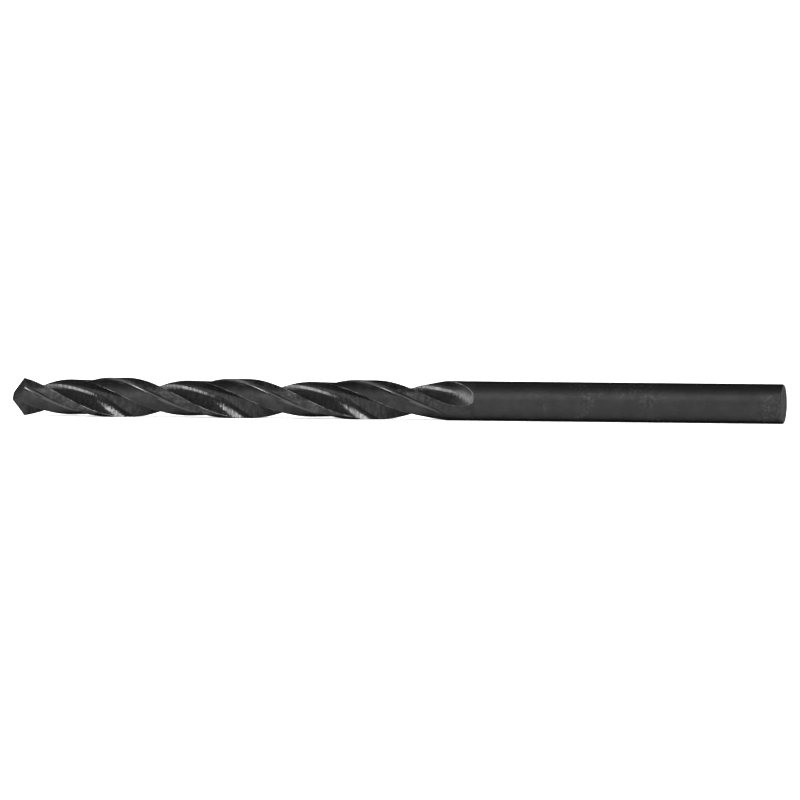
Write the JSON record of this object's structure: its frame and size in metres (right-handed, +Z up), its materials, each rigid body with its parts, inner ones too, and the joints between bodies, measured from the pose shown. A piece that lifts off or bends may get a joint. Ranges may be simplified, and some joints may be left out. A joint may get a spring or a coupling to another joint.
{
  "type": "twist drill bit",
  "caption": "Straight-shank twist drill bit of jobber length with right-hand helical flutes, for cutting round holes in metal, wood and plastic.",
  "frame": {"origin": "centre of the shank's flat end face", "axes": "+X along the drill axis, out of the shank's end face, so the point is at -X; +Z up, with the bit lying on its side"},
  "size_m": [0.075, 0.0038, 0.0038],
  "materials": {
    "black_oxide_steel": "black oxide over ground high-speed steel, slightly worn on the edges and the shank"
  },
  "bodies": {
    "root": {"twist_drill": "black_oxide_steel"}
  },
  "joints": []
}
